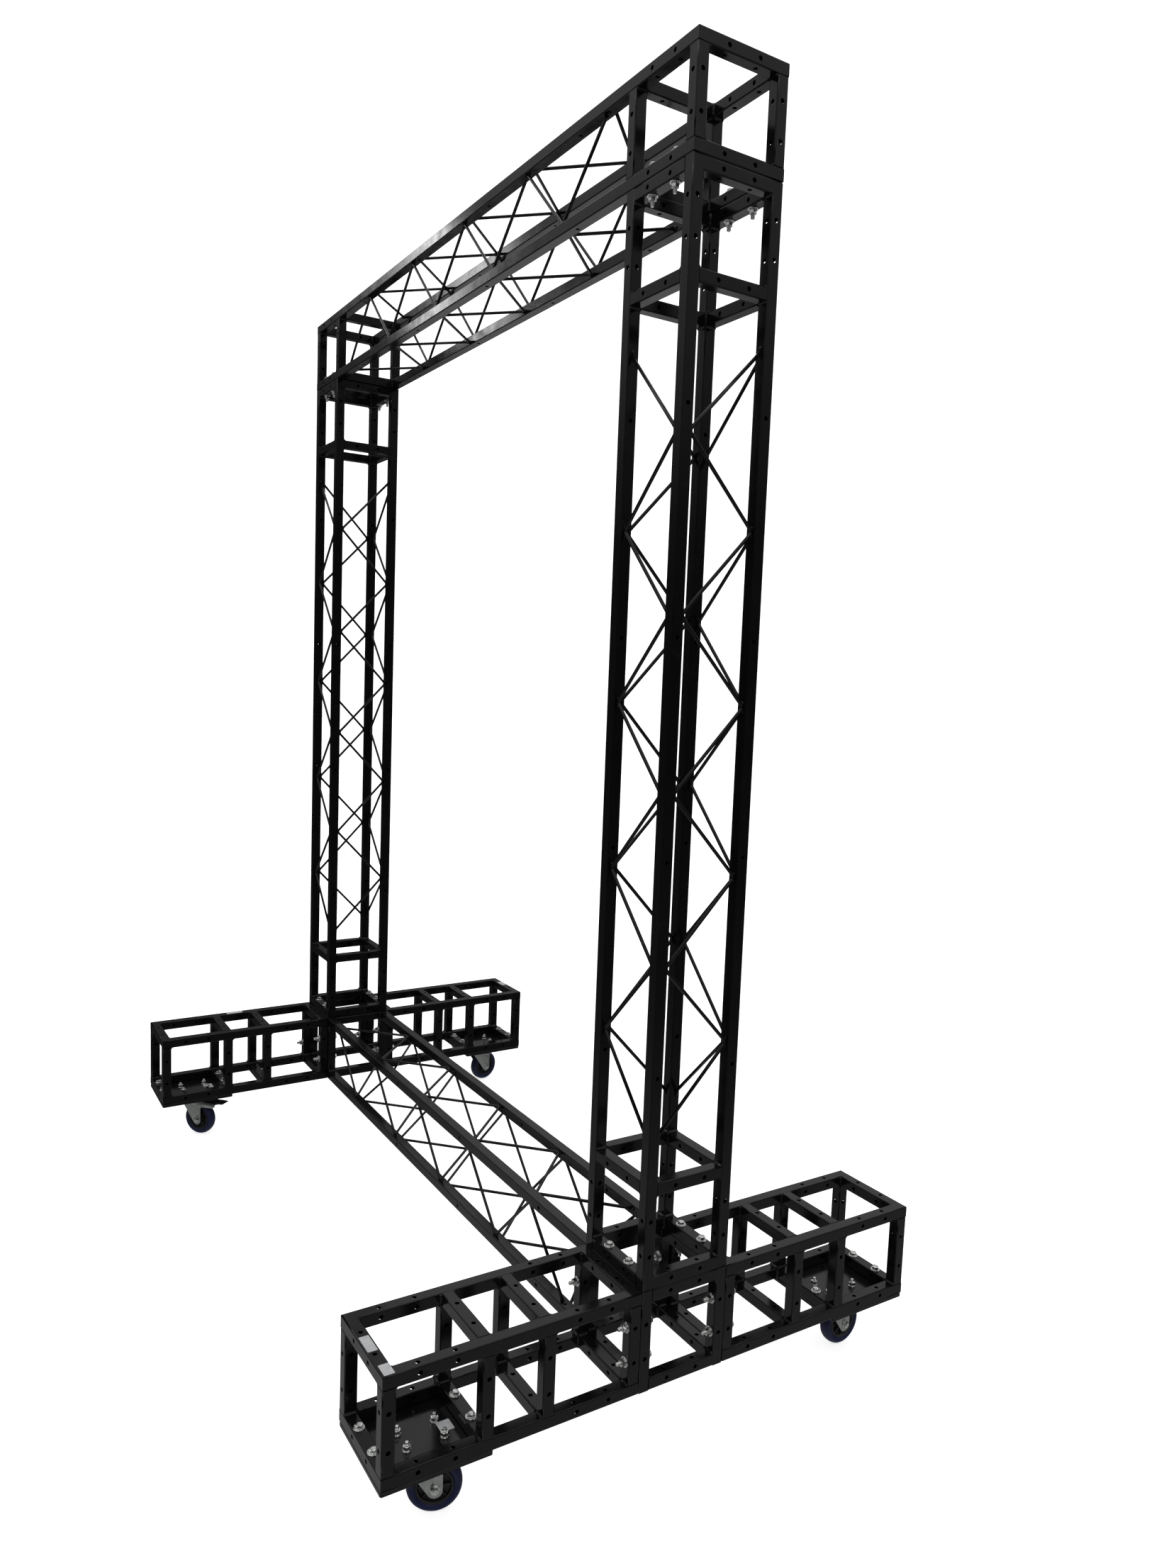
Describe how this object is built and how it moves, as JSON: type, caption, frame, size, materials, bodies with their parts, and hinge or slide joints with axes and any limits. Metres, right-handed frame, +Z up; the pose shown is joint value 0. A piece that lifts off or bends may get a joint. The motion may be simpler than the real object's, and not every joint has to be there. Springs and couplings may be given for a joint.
{
  "type": "mobile truss arch",
  "caption": "Free-standing goal-post arch of black square tube truss with bent rod lattice, on four outrigger feet with swivel castors.",
  "frame": {"origin": "on the floor under the middle of the arch", "axes": "+X across the arch to the right column, +Y from the front outriggers to the back ones, +Z up"},
  "size_m": [1.985, 1.2166, 2.5559],
  "materials": {
    "black_paint": "semi-gloss black powder coat",
    "plate_paint": "glossy black",
    "zinc": "bright zinc plate",
    "hub": "satin black",
    "tyre": "dark blue elastic tread"
  },
  "bodies": {
    "frame": {"bottom_beam": "black_paint", "bottom_beam_lattice_lower": "black_paint", "bottom_beam_lattice_upper": "black_paint", "bottom_beam_lattice_front": "black_paint", "bottom_beam_lattice_back": "black_paint", "top_beam": "black_paint", "top_beam_lattice_front": "black_paint", "top_beam_lattice_back": "black_paint", "top_beam_lattice_upper": "black_paint", "top_beam_lattice_lower": "black_paint", "column_right": "black_paint", "column_right_lattice_front": "black_paint", "column_right_lattice_back": "black_paint", "column_right_lattice_left": "black_paint", "column_right_lattice_right": "black_paint", "column_left": "black_paint", "column_left_lattice_front": "black_paint", "column_left_lattice_back": "black_paint", "column_left_lattice_left": "black_paint", "column_left_lattice_right": "black_paint", "outrigger_front_right": "black_paint", "outrigger_front_left": "black_paint", "outrigger_back_left": "black_paint", "outrigger_back_right": "black_paint", "mounting_plate_front_right": "plate_paint", "mounting_plate_front_left": "plate_paint", "mounting_plate_back_left": "plate_paint", "mounting_plate_back_right": "plate_paint", "castor_base_front_right": "zinc", "castor_base_front_left": "zinc", "castor_base_back_left": "zinc", "castor_base_back_right": "zinc"},
    "swivel_front_right": {"castor_fork_front_right": "zinc", "castor_axle_front_right": "zinc"},
    "wheel_front_right": {"castor_hub_front_right": "hub", "castor_tyre_front_right": "tyre"},
    "swivel_front_left": {"castor_fork_front_left": "zinc", "castor_axle_front_left": "zinc"},
    "wheel_front_left": {"castor_hub_front_left": "hub", "castor_tyre_front_left": "tyre"},
    "brake_pedal": {"castor_brake_front_left": "zinc"},
    "swivel_back_left": {"castor_fork_back_left": "zinc", "castor_axle_back_left": "zinc"},
    "wheel_back_left": {"castor_hub_back_left": "hub", "castor_tyre_back_left": "tyre"},
    "swivel_back_right": {"castor_fork_back_right": "zinc", "castor_axle_back_right": "zinc"},
    "wheel_back_right": {"castor_hub_back_right": "hub", "castor_tyre_back_right": "tyre"}
  },
  "joints": [
    {"name": "front_right_swivel", "type": "hinge", "parent": "frame", "child": "swivel_front_right", "pos_m": [0.8965, -0.4965, 0.116], "axis": [0, 0, 1], "continuous": true},
    {"name": "front_right_roll", "type": "hinge", "parent": "swivel_front_right", "child": "wheel_front_right", "pos_m": [0.90564, -0.47269, 0.05], "axis": [0.9336, -0.3584, 0], "continuous": true},
    {"name": "front_left_swivel", "type": "hinge", "parent": "frame", "child": "swivel_front_left", "pos_m": [-0.8965, -0.4965, 0.116], "axis": [0, 0, 1], "continuous": true},
    {"name": "front_left_roll", "type": "hinge", "parent": "swivel_front_left", "child": "wheel_front_left", "pos_m": [-0.87682, -0.48028, 0.05], "axis": [0.6361, -0.7716, 0], "continuous": true},
    {"name": "brake_press", "type": "hinge", "parent": "swivel_front_left", "child": "brake_pedal", "pos_m": [-0.83554, -0.44625, 0.106], "axis": [-0.6361, 0.7716, 0], "range_deg": [0, 12]},
    {"name": "back_left_swivel", "type": "hinge", "parent": "frame", "child": "swivel_back_left", "pos_m": [-0.8965, 0.4965, 0.116], "axis": [0, 0, 1], "continuous": true},
    {"name": "back_left_roll", "type": "hinge", "parent": "swivel_back_left", "child": "wheel_back_left", "pos_m": [-0.90137, 0.52153, 0.05], "axis": [0.9816, 0.1908, 0], "continuous": true},
    {"name": "back_right_swivel", "type": "hinge", "parent": "frame", "child": "swivel_back_right", "pos_m": [0.8965, 0.4965, 0.116], "axis": [0, 0, 1], "continuous": true},
    {"name": "back_right_roll", "type": "hinge", "parent": "swivel_back_right", "child": "wheel_back_right", "pos_m": [0.89561, 0.52198, 0.05], "axis": [0.9994, 0.0349, 0], "continuous": true}
  ]
}
